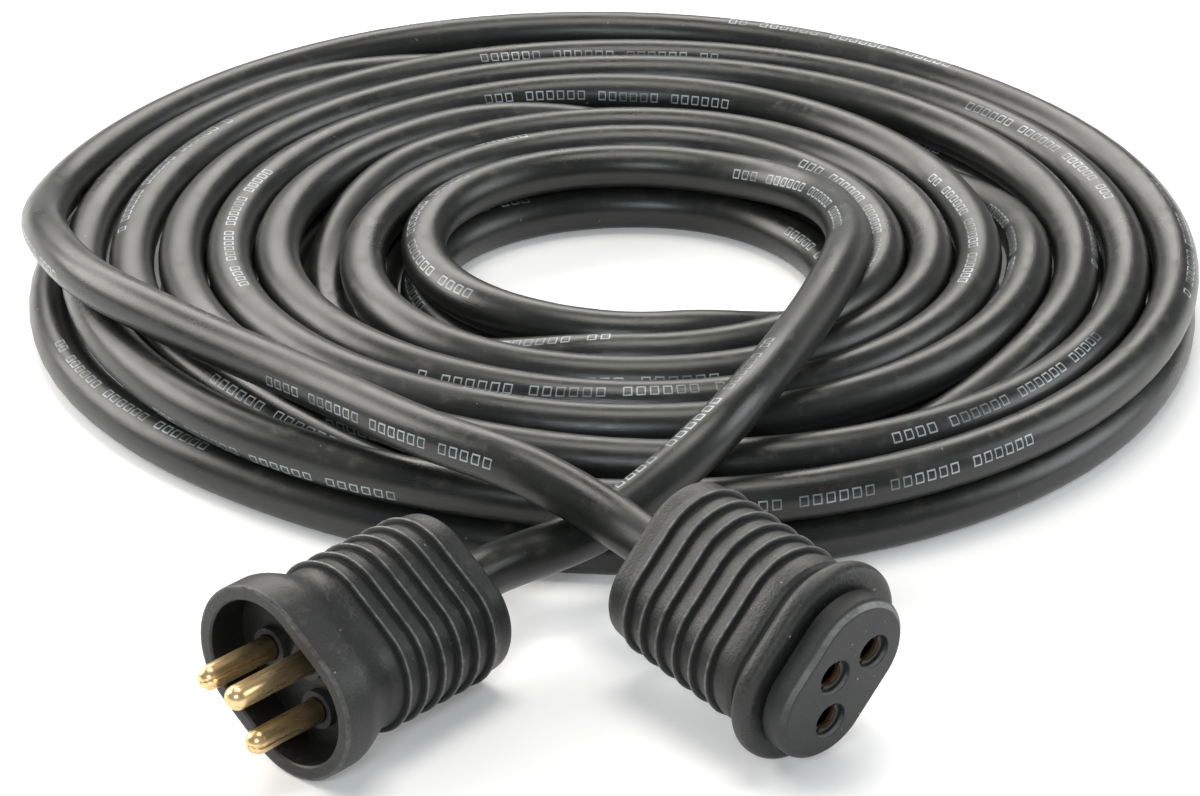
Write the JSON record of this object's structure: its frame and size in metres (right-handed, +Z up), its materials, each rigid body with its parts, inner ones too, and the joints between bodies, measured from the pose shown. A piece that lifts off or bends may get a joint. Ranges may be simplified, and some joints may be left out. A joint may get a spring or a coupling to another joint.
{
  "type": "power cord",
  "caption": "Coiled three-core power cord with a moulded shrouded pin plug and a moulded flanged socket with ribbed oblong grips.",
  "frame": {"origin": "on the resting surface, under the middle of the outline of the whole cord as it lies", "axes": "+Z up, -Y towards the plug and socket that lie in front of the coil, +X to the right seen from that side"},
  "size_m": [0.2549, 0.3249, 0.0378],
  "materials": {
    "jacket": "semi-gloss black rubber",
    "grip": "matte moulded black rubber",
    "insert": "fine matte black rubber",
    "bridge": "grey-black rubber",
    "pin": "satin brass",
    "contact": "satin bronze",
    "core_black": "satin",
    "core_white": "satin",
    "core_green": "satin",
    "copper": "bare stranded copper"
  },
  "bodies": {
    "root": {"cord_coil": "jacket", "plug_tail": "jacket", "socket_tail": "jacket", "plug_grip": "grip", "plug_bridge": "bridge", "pin_line": "pin", "pin_neutral": "pin", "pin_earth": "pin", "plug_core_line": "core_black", "plug_core_neutral": "core_white", "plug_core_earth": "core_green", "plug_copper": "copper", "plug_jacket": "jacket", "socket_grip": "grip", "socket_insert": "insert", "socket_back": "bridge", "contact_line": "contact", "contact_neutral": "contact", "contact_earth": "contact", "socket_core_line": "core_black", "socket_core_neutral": "core_white", "socket_core_earth": "core_green", "socket_copper": "copper", "socket_jacket": "jacket"}
  },
  "joints": []
}
